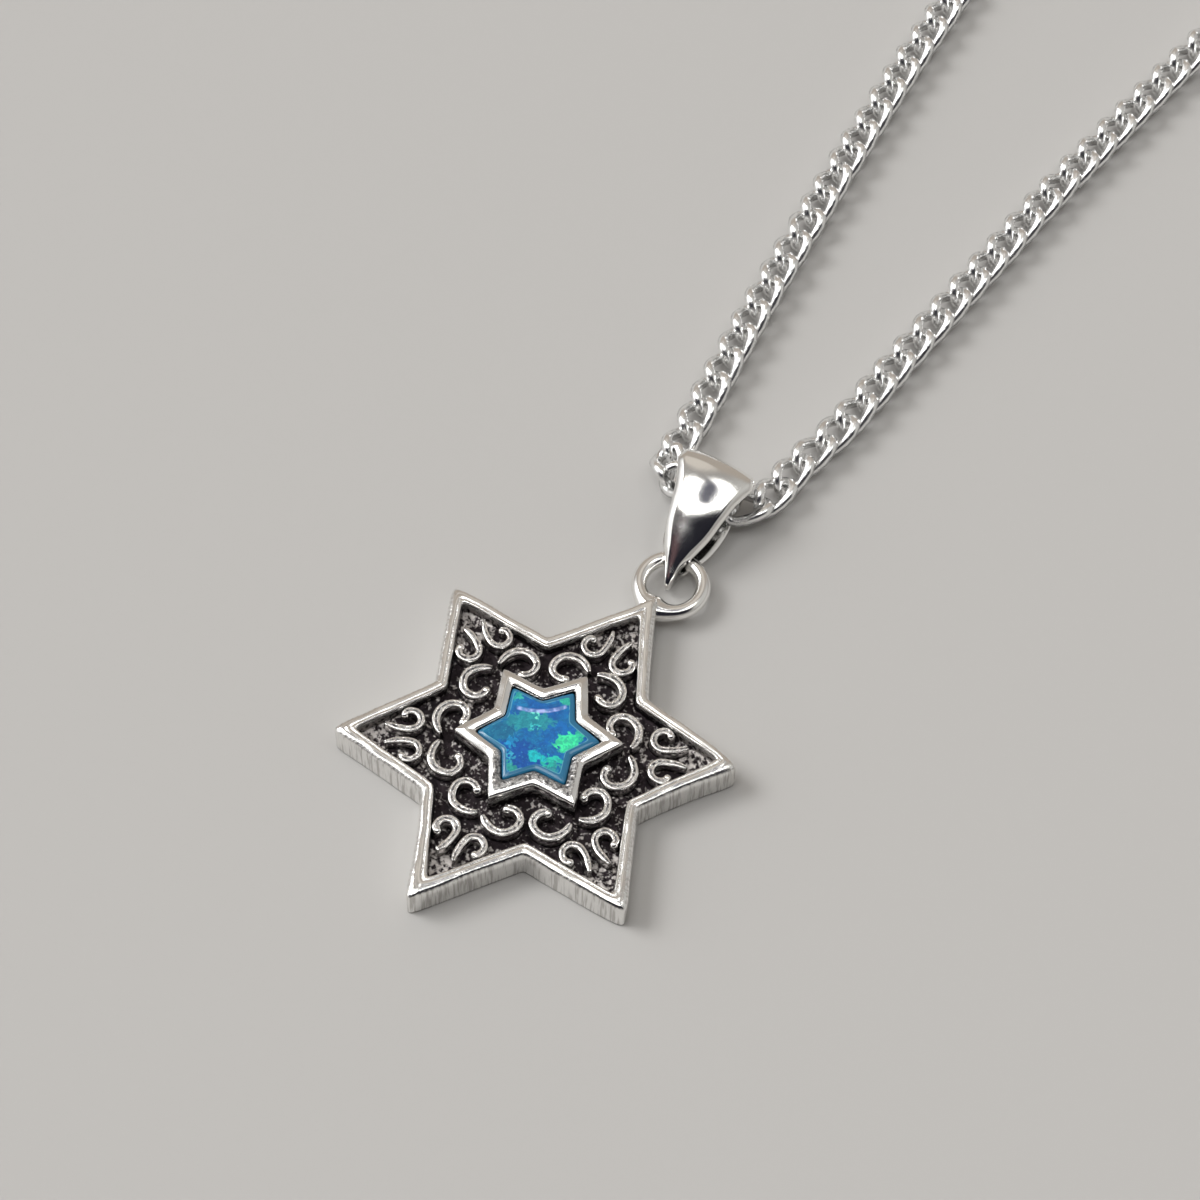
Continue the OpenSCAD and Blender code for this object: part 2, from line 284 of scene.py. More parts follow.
bezel_rows = [
    # distance in from the bezel's outline, and the rest as in rim_rows
    (-0.04, 1.18, 0.10, 1.0),
    (0.0, 1.28, 0.10, 0.95),
    (0.0, 1.45, 0.10, 0.90),
    (0.0, 1.65, 0.10, 0.70),
    (0.0, 1.85, 0.10, 0.50),
    (0.0, 2.05, 0.10, 0.30),
    (0.0, 2.2, 0.10, 0.15),
    (0.0, 2.33, 0.12, 0.0),
    (0.015, 2.385, 0.13, 0.0),
    (0.05, 2.425, 0.14, 0.0),
    (0.10, 2.45, 0.14, 0.0),
    (0.17, 2.478, 0.14, 0.0),
    (0.25, 2.51, 0.13, 0.0),
    (0.29, 2.528, 0.13, 0.0),
    (0.33, 2.535, 0.12, 0.0),
    (0.37, 2.527, 0.12, 0.0),
    (0.43, 2.502, 0.12, 0.0),
    (0.51, 2.468, 0.12, 0.0),
    (0.57, 2.44, 0.12, 0.05),
    (0.597, 2.40, 0.12, 0.4),
    (0.61, 2.33, 0.12, 0.9),
    (0.615, 2.2, 0.12, 1.0),
    (0.615, 1.4, 0.12, 1.0),
    (0.65, seat_height, 0.12, 1.0),
]
tips_from = 6.5
tips_over = 3.4
tips_fade = 1.2
tip_draws = [
    # outward and to the left, seen from the middle, from the top arm on to the left
    (0.28, -0.05),
    (0.05, 0.0),
    (0.10, 0.05),
    (0.50, -0.15),
    (0.10, 0.12),
    (0.05, -0.30),
]


def star_loops(point, valley, blunt, ease):
    """Outlines of stars, one row each, as x and y. On an arm, q goes from -1 at one valley through 0
    at the point to 1 at the next valley, and the side is the straight line between them. A corner
    is rounded by moving each place at distance d from it by sqrt(d^2 + e^2) - d towards the inside
    of the corner, with e = blunt at points and ease at valleys. blunt has one value for each arm."""
    steps = np.linspace(-1, 1, 2 * edge_points, endpoint=False)
    q = np.sign(steps) * (1 - np.cos(np.pi * np.abs(steps))) / 2
    point, valley, ease = (np.asarray(a, float)[:, None, None] for a in (point, valley, ease))
    blunt = np.asarray(blunt, float)[:, :, None]
    half_arm = np.pi / arms
    out = point + np.abs(q) * (valley * np.cos(half_arm) - point)
    side = q * valley * np.sin(half_arm)
    from_point = np.abs(q) * (point - valley * np.cos(half_arm))
    from_valley = (1 - np.abs(q)) * (point * np.cos(half_arm) - valley)
    out = out - (np.hypot(from_point, blunt) - from_point)
    push = np.hypot(from_valley, ease) - from_valley
    out = out + push * np.cos(half_arm)
    side = side + push * np.sin(half_arm) * np.sign(q + 1e-9 * (q == 0) - 2 * (steps == -1))
    turn = (np.pi / 2 + 2 * half_arm * np.arange(arms))[:, None]
    x = out * np.cos(turn) - side * np.sin(turn)
    y = out * np.sin(turn) + side * np.cos(turn)
    return np.stack([x, y], -1).reshape(len(x), -1, 2)


def inset(point, valley, width):
    """Share to which a star with these radii shrinks when its sides move in by width: 1 - width / d,
    where d is the distance of a side from the middle."""
    half_arm = np.pi / arms
    apart = np.sqrt(point**2 + valley**2 - 2 * point * valley * np.cos(half_arm))
    return 1 - width * apart / (point * valley * np.sin(half_arm))


def ripple(points, size, seed):
    """Smooth unevenness between about -1 and 1: a sum of seven sines across points, along directions
    and with phases drawn from seed, whose waves are about size long."""
    draw = np.random.default_rng(seed)
    waves = draw.normal(size=(7, 3))
    waves *= draw.uniform(0.7, 1.6, 7)[:, None] / np.linalg.norm(waves, axis=1)[:, None]
    phases = draw.uniform(0, 2 * np.pi, 7)
    return np.sin(points @ waves.T * 2 * np.pi / size + phases).sum(-1) / 3.5


def skin(name, points, material, closed=False, **shades):
    """Object whose surface runs through grids of points in mm, shaped (copies, rows, columns, 3).
    Columns run round and close. Rows close too if closed, or else a fan closes each end. Where the
    volume inside, a sum of a . (b x c) over the faces, is negative, all faces are turned over.
    Each of shades becomes an attribute, with one value for each grid point."""
    copies, rows, columns = points.shape[:3]
    index = np.arange(copies * rows * columns).reshape(copies, rows, columns)
    here = index if closed else index[:, :-1]
    ahead = np.roll(index, -1, 1) if closed else index[:, 1:]
    beside = np.roll(here, -1, 2)
    faces = np.stack([here, beside, np.roll(ahead, -1, 2), ahead], -1).reshape(-1, 4)
    corners = points.reshape(-1, 3)
    a, b, c = (corners[faces[:, k]] for k in range(3))
    order = -1 if np.einsum("ij,ij->", a, np.cross(b, c)) < 0 else 1
    shape = faces[:, ::order].tolist()
    if not closed:
        middles = index.size + np.arange(2 * copies).reshape(copies, 2, 1) + 0 * index[:, [0, -1]]
        ends = index[:, [0, -1]]
        turned = np.roll(ends, -1, 2)
        ends[:, 1], turned[:, 1] = turned[:, 1].copy(), ends[:, 1].copy()
        fans = np.stack([middles, turned, ends], -1).reshape(-1, 3)
        shape += fans[:, ::order].tolist()
        corners = np.concatenate([corners, points[:, [0, -1]].mean(2).reshape(-1, 3)])
    mesh = bpy.data.meshes.new(name)
    mesh.from_pydata((corners * mm).tolist(), [], shape)
    for shade, values in shades.items():
        values = np.broadcast_to(values, (copies, rows, columns))
        if not closed:
            values = np.concatenate([values.reshape(-1), values[:, [0, -1], 0].reshape(-1)])
        values = np.ravel(values).astype(np.float32)
        mesh.attributes.new(shade, "FLOAT", "POINT").data.foreach_set("value", values)
    mesh.shade_smooth()
    mesh.materials.append(material)
    piece = bpy.data.objects.new(name, mesh)
    bpy.context.scene.collection.objects.link(piece)
    return piece


recess_point = star_point * inset(star_point, star_valley, rim_width)
viewer_side = np.array([math.sin(view_azimuth), -math.cos(view_azimuth)])
profile = []


def row(base, width, height, blunt, ease, patina, wall=0.0):
    """Add a row to the profile, whose radii are those of the rim's or the bezel's outline, moved in
    by width. It has a height, the rounding of points and of valleys, the patina and the share of
    brushed side wall."""
    radii = (star_point, star_valley) if base == "rim" else (bezel_point, bezel_valley)
    share = inset(*radii, width)
    profile.append((radii[0] * share, radii[1] * share, height, blunt, ease, patina, wall))


# The profile runs from the middle of the back out, up the side, over the rim, across the recess
# floor, up and over the bezel and down to the seat.
for share in (0.02, 0.5, 0.9):
    profile.append((star_point * share, star_valley * share, 0.0, 0.2, 0.1, 0.0, 0.0))
tip = star_point - star_reach
row("rim", back_chamfer, 0.0, tip, wall_ease, 0.0)
row("rim", 0.0, back_chamfer, tip, wall_ease, 0.0, 1.0)
for height in wall_heights:
    row("rim", 0.0, height, tip, wall_ease, 0.0, 1.0)
for turn in np.linspace(0.15, 1, 8) * np.pi / 2:
    width = shoulder_width * (1 - math.cos(turn))
    height = shoulder_height + shoulder_rise * math.sin(turn)
    row("rim", width, height, tip, shoulder_ease, 0.0, 1 - turn / 1.6)
for width, height, blunt, patina in rim_rows:
    row("rim", width, height, blunt, rim_ease, patina)
edge_share = inset(star_point, star_valley, floor_edge)
last_point = bezel_point + floor_to_bezel_point
last_valley = bezel_valley + floor_to_bezel_valley
floor_points = np.linspace(star_point * edge_share, last_point, floor_rows)
floor_valleys = np.linspace(star_valley * edge_share, last_valley, floor_rows)
for share, point, valley in zip(np.linspace(0, 1, floor_rows), floor_points, floor_valleys):
    profile.append((point, valley, floor_height, 0.2 - 0.1 * share, 0.1, 1.0, 0.0))
for width, height, blunt, patina in bezel_rows:
    row("bezel", width, height, blunt, bezel_ease, patina)
profile.append((0.1, 0.06, seat_height, 0.001, 0.001, 1.0, 0.0))

# Every row is a star. The top arm, under the ring, is sharper than the others.
points, valleys, heights, blunts, eases, patinas, walls = np.array(profile).T
arm_blunt = np.repeat(blunts[:, None], arms, 1)
arm_blunt[points > star_point - 1, 0] *= 0.3
arm_blunt = np.minimum(arm_blunt, 0.5 * points[:, None])
plan = star_loops(points, valleys, arm_blunt, eases)
# The tips aren't quite alike: each outer one is drawn out and aside, less so further in.
for arm, (drawn, aside) in enumerate(tip_draws):
    toward = np.pi / 2 + 2 * np.pi / arms * arm
    ahead = np.array([np.cos(toward), np.sin(toward)])
    near = np.clip((plan @ ahead - tips_from) / tips_over, 0, 1) ** 2
    near = near * np.clip((points - recess_point) / tips_fade, 0, 1)[:, None]
    plan = plan + near[..., None] * (drawn * ahead + aside * np.array([-ahead[1], ahead[0]]))
# The bezel sits a little off the middle. Towards the viewer its inner slope is broader and rough,
# where the setting was pressed over the stone.
on_bezel = points < bezel_point + 0.06
plan = plan + np.where(on_bezel[:, None, None], bezel_shift, 0)
share = (points / bezel_point)[:, None]
above_seat = heights[:, None] > seat_height + 0.05
near = np.clip(plan @ viewer_side / press_run, 0, 1) * np.clip((0.89 - share) / 0.04, 0, 1) * above_seat
plan = plan - press_depth * near[..., None] * viewer_side
rough = np.clip(plan @ viewer_side / 1.2, 0, 1) * np.clip((0.925 - share) / 0.03, 0, 1) * above_seat
body = np.concatenate([plan, np.broadcast_to(heights[:, None, None], (*plan.shape[:2], 1))], -1)
# Small waves make the outline, the crests of rim and bezel and the recess floor uneven.
worn_floor = patinas[:, None] * (heights < floor_height + 0.01)[:, None]
body[..., :2] *= 1 + 0.0025 * ripple(body, 2.6, 3)[..., None]
body[..., 2] += np.where(heights[:, None] > 1.6, 0.018, 0) * ripple(body, 1.7, 5)
body[..., 2] += np.where(worn_floor > 0.9, 0.03, 0) * ripple(body, 0.5, 8)
body[..., 2] += np.where(worn_floor > 0.9, 0.03, 0) * ripple(body, 0.9, 9)

cast_silver = bpy.data.materials.new("cast_silver")
tree = Tree(cast_silver)
where = tree.place()
patina = tree.attribute("patina")
wall = tree.attribute("wall")
grain = tree.noise(where, 6.0, 3.0, 0.65)
blotch = tree.noise(where, 0.9, 3.0, 0.6)
dark = tree.rise(patina + (grain - 0.5) * 0.9, 0.25, 0.75)
distance = tree.vector("LENGTH", where, (0.0, 0.0, 0.0), out=1)
worn = tree.rise(distance, 5.8, 8.6) * 0.13 + (blotch - 0.5) * 0.45
sparkle = tree.rise(tree.noise(where, 4.6, 3.0, 0.6) + worn, 0.54, 0.68) * dark
oxide = tree.mix(grain, (0.004, 0.003, 0.004), (0.050, 0.040, 0.044))
oxide = tree.mix(sparkle, oxide, (0.52, 0.49, 0.47))
metal = tree.mix(blotch, (0.90, 0.89, 0.87), (0.96, 0.95, 0.93))
striae = tree.noise(tree.place((1.0, 1.0, 0.06)), 6.5, 2.0, 0.6)
scuffs = tree.noise(tree.place((0.5, 2.2, 1.0)), 9.0, 3.0, 0.7)
relief = grain * dark * 1.2 + striae * wall * 0.9 + scuffs * 0.05
# Dark stripes along the striae of the side walls are a painted reflection of the floor's weave.
painted_weave_reflection = tree.rise(striae, 0.46, 0.62) * wall * 0.55
tree.principled(
    Base_Color=tree.mix(dark, tree.mix(painted_weave_reflection, metal, (0.30, 0.28, 0.25)), oxide),
    Metallic=1.0,
    Roughness=0.11 + blotch * 0.07 + dark * 0.34 + wall * 0.10,
    Normal=tree.bump(relief, 0.06),
)
tarnish = np.maximum(patinas[:, None], 0.54 * rough)
star_body = skin("star_body", body[None], cast_silver, patina=tarnish[None], wall=walls[None, :, None])
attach(star_body, "root")
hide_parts("star")

# Scrolls: wires of the same casting that stand on the recess floor, in each arm a mirrored pair of
# large ones next to the bezel and a pair of small ones towards the tip, each curled round a ball.
# Shoulders are polished bright, oxide stays at their feet, and the crest groove is darkened as painted
# reflection.
scroll_height = 0.7
scroll_foot = 0.08
scroll_stray = 0.035
scroll_lift = 0.025
scroll_swell = 0.05
moved_out = 0.22
arms_moved_out = (0, 5)
bow_steps = 14
ball_share = 1.3
ball_foot = 0.05
ball_turn = 0.72
wire_section = np.array([
    # share of the half width, share of the shoulder's height (below 0 the foot), crest darkening as painted
    # reflection
    (1.15, -1, 0),
    (1.0, 0, 0),
    (0.93, 0.55, 0),
    (0.78, 0.88, 0),
    (0.58, 1.0, 0.1),
    (0.34, 0.88, 0.42),
    (0.12, 0.72, 0.62),
    (-0.12, 0.72, 0.62),
    (-0.34, 0.88, 0.42),
    (-0.58, 1.0, 0.1),
    (-0.78, 0.88, 0),
    (-0.93, 0.55, 0),
    (-1.0, 0, 0),
    (-1.15, -1, 0),
])
large_bends = [
    # bend radius, turn in degrees, width
    (1.31, 42, 0.37),
    (0.87, 95, 0.46),
    (0.60, 125, 0.41),
]
small_bends = [
    (2.39, 32, 0.32),
    (0.52, 185, 0.38),
    (0.31, 60, 0.34),
]
scroll_starts = [
    # bends, across and out from the star's middle, heading in degrees, hand
    (large_bends, (0.22, 4.72), -48, -1),
    (small_bends, (0.55, 7.52), 155, 1),
]


def bowed(bends, start, head, hand):
    """Centre line of a scroll with its widths: it starts towards head, in degrees from +Y, and each
    bend turns it to its hand along an arc. The heading is summed up over short steps."""
    radii, turns, widths = (np.array(column, float) for column in zip(*bends))
    step_turn = np.repeat(np.radians(turns) / bow_steps, bow_steps)
    step_length = step_turn * np.repeat(radii, bow_steps)
    ahead = math.radians(head) + hand * (np.cumsum(step_turn) - step_turn / 2)
    moves = np.stack([-np.sin(ahead), np.cos(ahead)], -1) * step_length[:, None]
    line = np.concatenate([[start], np.array(start) + np.cumsum(moves, 0)])
    knots = np.cumsum(np.concatenate([[0], turns]))
    middles = (knots[1:] + knots[:-1]) / 2
    return line, np.interp(np.linspace(0, knots[-1], len(line)), middles, widths)


def wire_grid(line, widths, low, high):
    """Upright wire along line: straight sides, and rounded shoulders with a shallow groove between
    them along the crest. Its section is carried along the line, square to it: each place lies its
    share of the half width aside, and 0.6 (1 - crest) half widths below high, or at low for a foot."""
    ahead = np.gradient(line, axis=0)
    ahead /= np.linalg.norm(ahead, axis=1)[:, None]
    aside = np.stack([ahead[:, 1], -ahead[:, 0]], -1)
    lateral, crest, _ = wire_section.T
    half = widths[:, None] / 2
    spread = lateral * half
    level = np.where(crest < 0, low, high - 0.6 * half + 0.6 * half * crest)
    plan = line[:, None] + spread[..., None] * aside[:, None]
    return np.concatenate([plan, level[..., None]], -1)


# Arms are counted clockwise from the top one. Each pair is carried round to its arm, with every
# scroll a little off its place, height and width, and some of the large ones moved out.
draw = np.random.default_rng(11)
wires = {"large_scrolls": [], "small_scrolls": []}
balls = []
for (bends, start, head, hand), name in zip(scroll_starts, wires):
    line, widths = bowed(bends, start, head, hand)
    widths = widths * np.interp(np.arange(len(line)), [0, 4], [0.55, 1])
    for arm in range(arms):
        for side in (1, -1):
            shift = draw.normal(size=2) * scroll_stray
            lift = draw.normal() * scroll_lift
            outward = moved_out if name == "large_scrolls" and arm in arms_moved_out else 0.0
            bent = (line + shift + np.array([0, outward])) * np.array([side, 1])
            turn = -2 * np.pi / arms * arm
            bent = bent @ np.array([[math.cos(turn), math.sin(turn)], [-math.sin(turn), math.cos(turn)]])
            top = floor_height + scroll_height + lift
            width = widths * (1 + draw.normal() * scroll_swell)
            wires[name].append(wire_grid(bent, width, floor_height - scroll_foot, top))
            balls.append((*bent[-1], top, ball_share * bends[-1][2] / 2))
for name, grids in wires.items():
    grid = np.array(grids)
    grid += 0.012 * ripple(grid, 0.9, 21)[..., None]
    foot = np.clip((floor_height + 0.50 - grid[..., 2]) / 0.35, 0, 1)
    # This value is oxide at the feet and a painted reflection darkening the crest groove.
    piece = skin(name, grid, cast_silver, patina=np.maximum(foot, wire_section[:, 2]), wall=0.0)
    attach(piece, "root")
    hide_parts("star")
# A ball is a sphere (r sin d cos a, r sin d sin a, r cos d), whose last row goes down to the floor.
ball_x, ball_y, ball_top, ball_r = (column[:, None, None] for column in np.array(balls).T)
dip = np.linspace(0.02, 1, 10)[None, :, None] * np.pi * ball_turn
around = np.linspace(0, 2 * np.pi, 16, endpoint=False)[None, None, :]
grid = np.stack([
    ball_x + ball_r * np.sin(dip) * np.cos(around),
    ball_y + ball_r * np.sin(dip) * np.sin(around),
    ball_top - ball_r + ball_r * np.cos(dip) + 0 * around,
], -1)
grid[:, -1, :, 2] = floor_height - ball_foot
foot = np.clip((floor_height + 0.45 - grid[..., 2]) / 0.3, 0, 1)
scroll_balls = skin("scroll_balls", grid, cast_silver, patina=foot, wall=0.0)
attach(scroll_balls, "root")
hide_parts("star")

# Hanging ring: round wire bent to a ring and soldered to the point of the top arm. It lies flat, and
# the solder thickens it where it meets the star.
ring_middle = (0.0, 11.95, 0.975)
ring_radius = 1.65
ring_wire = 0.8
solder = 0.28
solder_spread = 0.42
# A circle of wire is carried round the ring. The solder makes it thicker by solder times
# exp(-(t / solder_spread)^2), where t is the angle from the star.
turn = np.linspace(0, 2 * np.pi, 96, endpoint=False)[:, None]
round_wire = np.linspace(0, 2 * np.pi, 24, endpoint=False)[None, :]
from_star = np.mod(turn + np.pi / 2 + np.pi, 2 * np.pi) - np.pi
near_star = np.exp(-((from_star / solder_spread) ** 2))
wire = ring_wire / 2 + solder * near_star
reach = ring_radius + wire * np.cos(round_wire)
grid = np.stack([
    ring_middle[0] + reach * np.cos(turn),
    ring_middle[1] + reach * np.sin(turn),
    ring_middle[2] + (wire + ring_wire / 2) / 2 * np.sin(round_wire),
], -1)
hanging_ring = skin("hanging_ring", grid[None], cast_silver, closed=True, patina=0.0, wall=0.0)
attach(hanging_ring, "root")
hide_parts("star")

# Opal: star-shaped stone, ground flat below and slightly domed above, polished and held by the
# bezel. It is blue, with flakes of green and turquoise that sit a little under the clear surface.
opal_gap = 0.05
opal_sink = 0.02
opal_crown = 0.15
opal_blunt = 0.14
opal_ease = 0.06
opal_steps = 24
opal_edge = np.array([
    # share of the outline, depth below the dome
    (0.88, 0.004),
    (0.92, 0.018),
    (0.955, 0.04),
    (0.98, 0.065),
    (0.993, 0.09),
    (1.0, 0.13),
])
opal_patches = [
    # across, along, half length, half width, turn in degrees, colour
    (0.02, -1.26, 1.1, 0.8, 0, (0.004, 0.090, 0.38)),
    (0.9, 0.9, 0.9, 0.7, 30, (0.004, 0.15, 0.47)),
    (-1.86, -0.79, 0.9, 0.8, 30, (0.008, 0.16, 0.30)),
    (-0.79, 0.54, 1.15, 0.50, 33, (0.020, 0.30, 0.36)),
    (1.40, 0.66, 0.62, 0.50, 30, (0.050, 0.84, 0.40)),
    (1.88, 1.49, 0.55, 0.28, 60, (0.030, 0.60, 0.36)),
    (0.57, -0.87, 0.42, 0.34, 0, (0.010, 0.54, 0.58)),
    (1.44, -0.72, 0.55, 0.30, 40, (0.020, 0.58, 0.44)),
    (1.91, -1.09, 0.45, 0.45, 0, (0.030, 0.32, 0.34)),
    (-0.11, -2.14, 0.42, 0.35, 0, (0.030, 0.38, 0.32)),
    (-2.08, 1.46, 0.30, 0.30, 0, (0.030, 0.46, 0.38)),
    (-0.06, 2.66, 0.36, 0.30, 0, (0.030, 0.50, 0.36)),
    (-0.60, 1.15, 0.22, 0.09, 30, (0.16, 0.80, 0.62)),
    (-0.32, 0.47, 0.26, 0.10, 40, (0.05, 0.58, 0.60)),
    (-0.81, -0.99, 0.20, 0.45, 20, (0.012, 0.30, 0.62)),
    (-0.44, -1.59, 0.12, 0.34, 20, (0.04, 0.42, 0.62)),
]
# Rows run from the middle of the dome over its edge to the middle of the flat back. The outline is
# the bezel's, moved in by its width and the gap, and the dome falls with the distance squared.
share = inset(bezel_point, bezel_valley, bezel_width + opal_gap)
out = np.concatenate([np.linspace(0.02, 0.84, opal_steps), opal_edge[:, 0], [1.0, 0.6, 0.02]])
drop = np.concatenate([np.zeros(opal_steps), opal_edge[:, 1]])
blunt = np.repeat(opal_blunt * out[:, None], arms, 1)
plan = star_loops(out * share * bezel_point, out * share * bezel_valley, blunt, opal_ease * out)
plan = plan + bezel_shift
near = np.clip(plan @ viewer_side / press_run, 0, 1)
plan = plan - press_depth * near[..., None] * viewer_side
dome = opal_crown * (1 - (np.linalg.norm(plan, axis=-1) / (share * bezel_point)) ** 2)
level = bezel_height - opal_sink + dome
level[: len(drop)] -= drop[:, None]
level[len(drop) :] = seat_height + opal_gap
grid = np.concatenate([plan, level[..., None]], -1)

# Under the surface, ragged patches of colour lie on a blue ground, with specks and darker depths.
opal_stone = bpy.data.materials.new("opal_stone")
tree = Tree(opal_stone)
where = tree.place()
ragged = tree.add("ShaderNodeTexVoronoi", {"feature": "F1"}, {"Vector": where, "Scale": 4.5}, out=1)
flakes = tree.vector("MULTIPLY", tree.vector("SUBTRACT", ragged, (0.5, 0.5, 0.5)), (0.34, 0.34, 0.0))
wander = tree.add("ShaderNodeTexNoise", None, {"Vector": where, "Scale": 2.2, "Detail": 4.0}, out=1)
wander = tree.vector("MULTIPLY", tree.vector("SUBTRACT", wander, (0.5, 0.5, 0.5)), (0.9, 0.9, 0.0))
moved = tree.vector("ADD", where, tree.vector("ADD", flakes, wander))
cloud = tree.noise(where, 1.4, 4.0, 0.6)
fire_and_sheen = tree.mix(tree.rise(cloud, 0.38, 0.62), (0.004, 0.12, 0.42), (0.006, 0.19, 0.44))
for x, y, long, wide, turn, colour in opal_patches:
    u, v = tree.turned(moved, x, y, turn)
    fire_and_sheen = tree.mix(tree.rise((u / long) ** 2 + (v / wide) ** 2, 1.25, 0.75), fire_and_sheen, colour)
speckle = tree.rise(tree.noise(where, 9.0, 2.0, 0.6), 0.62, 0.72)
fire_and_sheen = tree.mix(speckle * 0.4, fire_and_sheen, (0.06, 0.50, 0.62))
depth = tree.rise(tree.noise(moved, 3.5, 3.0, 0.6), 0.62, 0.38)
fire_and_sheen = tree.mix(depth * 0.38, fire_and_sheen, (0.0, 0.03, 0.14))
skirt = tree.attribute("skirt")
fire_and_sheen = tree.mix(tree.rise(skirt, 0.845, 0.87), fire_and_sheen, (0.022, 0.145, 0.27))
line = tree.rise(skirt, 0.83, 0.845) * tree.rise(skirt, 0.865, 0.85) * tree.rise(cloud, 0.40, 0.55)
fire_and_sheen = tree.mix(line, fire_and_sheen, (0.10, 0.34, 0.46))
# A painted reflection of the window: a bent streak of sheen along v = 0.17 u^2 - 0.22, brighter in places.
u, v = tree.turned(where, -0.75, 1.56, 37)
reflection_patches = tree.rise(tree.noise(tree.place((1.0, 1.0, 0.0)), 2.6, 2.0), 0.40, 0.62)
painted_window_reflection = tree.rise((v - 0.17 * u**2 + 0.22) ** 2, 0.020, 0.002) * tree.rise(u**2, 1.7, 1.2)
fire_and_sheen = tree.mix(painted_window_reflection * (0.22 + reflection_patches * 0.65), fire_and_sheen, (0.46, 0.53, 0.92))
# The stone glows faintly in its own colours and sheen: painted light.
tree.principled(
    Base_Color=fire_and_sheen,
    Roughness=0.18,
    Coat_Weight=0.4,
    Coat_Roughness=0.04,
    IOR=1.40,
    Emission_Color=fire_and_sheen,
    Emission_Strength=0.12,
)
# skirt is the share of the outline, at whose upper end the colour turns to plain slate blue.
skirts = out[:, None] * (1 + 0.028 * plan[..., 0] - 0.012)
opal_star = skin("opal_star", grid[None], opal_stone, skirt=skirts[None])
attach(opal_star, "root")
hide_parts("opal")

# Bail: sheet silver folded over, with a broad domed front leaf that narrows to a point at the ring,
# a fold at the far end and a back leaf below. The leaves meet in a web, with the ring just behind it.
bail_length = 7.25
bail_width = 4.2
bail_height = 3.75
bail_front = 0.45
bail_back = 0.35
bail_crown = 0.3
bail_bevel = 0.28
bail_turn = math.radians(11.5)
bail_lean = math.radians(8)
bail_tip = (-0.262, 11.874)
tip_run = 0.9
tip_draw = 0.2
tip_taper = 0.3
tip_bend = 0.12
lean_middle = 1.9
lean_from = 0.4
lean_over = 2.0
web_steps = 16
front_steps = 36
fold_steps = 40
back_steps = 24
# Bends of the inner face round the ring and round the chain: middle along and up, radius
hook = (1.45, 0.975, 0.55)
fold = (5.475, 1.675, 1.325)
bail_rows = np.array([
    # along, underside, top, front and back half widths, all as shares
    (0.000, 0.155, 0.300, 0.09, 0.05),
    (0.035, 0.095, 0.375, 0.13, 0.09),
    (0.100, 0.040, 0.460, 0.20, 0.15),
    (0.210, 0.005, 0.590, 0.37, 0.32),
    (0.350, 0.000, 0.735, 0.56, 0.58),
    (0.490, 0.000, 0.870, 0.67, 0.71),
    (0.630, 0.000, 0.955, 0.78, 0.76),
    (0.740, 0.005, 0.995, 0.91, 0.74),
    (0.825, 0.030, 1.000, 1.00, 0.73),
    (0.895, 0.100, 0.955, 0.98, 0.73),
    (0.945, 0.185, 0.850, 1.00, 0.72),
    (0.980, 0.295, 0.705, 0.93, 0.64),
    (1.000, 0.425, 0.595, 0.76, 0.48),
])


def smooth(rows, steps):
    """Curve through rows, with steps from row to row: between rows b and c of a, b, c, d it is
    b + t (c - a) / 2 + t^2 (2a - 5b + 4c - d) / 2 + t^3 (3b - a - 3c + d) / 2."""
    padded = np.concatenate([2 * rows[:1] - rows[1:2], rows, 2 * rows[-1:] - rows[-2:-1]])
    a, b, c, d = (padded[k : len(padded) - 3 + k, None] for k in range(4))
    t = (np.arange(steps) / steps)[None, :, None]
    curve = b + t * (c - a) / 2 + t**2 * (2 * a - 5 * b + 4 * c - d) / 2 + t**3 * (3 * b - a - 3 * c + d) / 2
    return np.concatenate([curve.reshape(-1, rows.shape[1]), rows[-1:]])


def pace(line, count):
    """Points of line at count equal steps along it, without its end. Only its first two columns are
    lengths, and the rest go along with them."""
    gone = np.concatenate([[0], np.cumsum(np.linalg.norm(np.diff(line[:, :2], axis=0), axis=1))])
    stops = np.linspace(0, gone[-1], count, endpoint=False)
    return np.stack([np.interp(stops, gone, column) for column in line.T], -1)


def arc(middle_x, middle_z, r, first, last):
    """Points (x + r cos a, z + r sin a), where the angle a goes from first to last in degrees."""
    angle = np.radians(np.linspace(first, last, 40))
    return np.stack([middle_x + r * np.cos(angle), middle_z + r * np.sin(angle)], -1)


# The outer and the inner face are walked round side by side, from the web over the front leaf and
# the fold to the back leaf and back to the web, and each pair of places bounds one cross section.
curve = smooth(bail_rows, 30)
scale = np.array([bail_length, bail_height, bail_height, bail_width / 2, bail_width / 2])
along, under, top, front, back = (curve * scale).T
crown = curve[:, 3] * bail_crown
upper = np.stack([along, top, front, crown], -1)
lower = np.stack([along, under, back, 0 * crown], -1)[::-1]
turned_end = np.concatenate([upper[upper[:, 0] > fold[0]], lower[lower[:, 0] > fold[0]]])
before = upper[:, 0] <= hook[0]
between = (upper[:, 0] > hook[0]) & (upper[:, 0] <= fold[0])
outer_side = np.concatenate([
    pace(upper[before], web_steps),
    pace(upper[between], front_steps),
    pace(turned_end, fold_steps),
    pace(lower[between[::-1]], back_steps),
    pace(lower[before[::-1]], web_steps),
])
under_leaf = np.stack([along, top - crown - bail_front], -1)[between]
way = np.concatenate([
    pace(arc(*hook, 180, 90), web_steps),
    pace(under_leaf, front_steps),
    pace(arc(*fold, 90, -90), fold_steps),
    pace(np.array([(fold[0], bail_back), (hook[0], hook[1] - hook[2])]), back_steps),
    pace(arc(*hook, 270, 180), web_steps),
])
front_share = np.concatenate([
    np.linspace(0.5, 1, web_steps),
    np.ones(front_steps),
    np.linspace(1, 0, fold_steps),
    np.zeros(back_steps),
    np.linspace(0, 0.5, web_steps),
])
way_width = front_share * np.interp(way[:, 0], along, front)
way_width += (1 - front_share) * np.interp(way[:, 0], along, back)
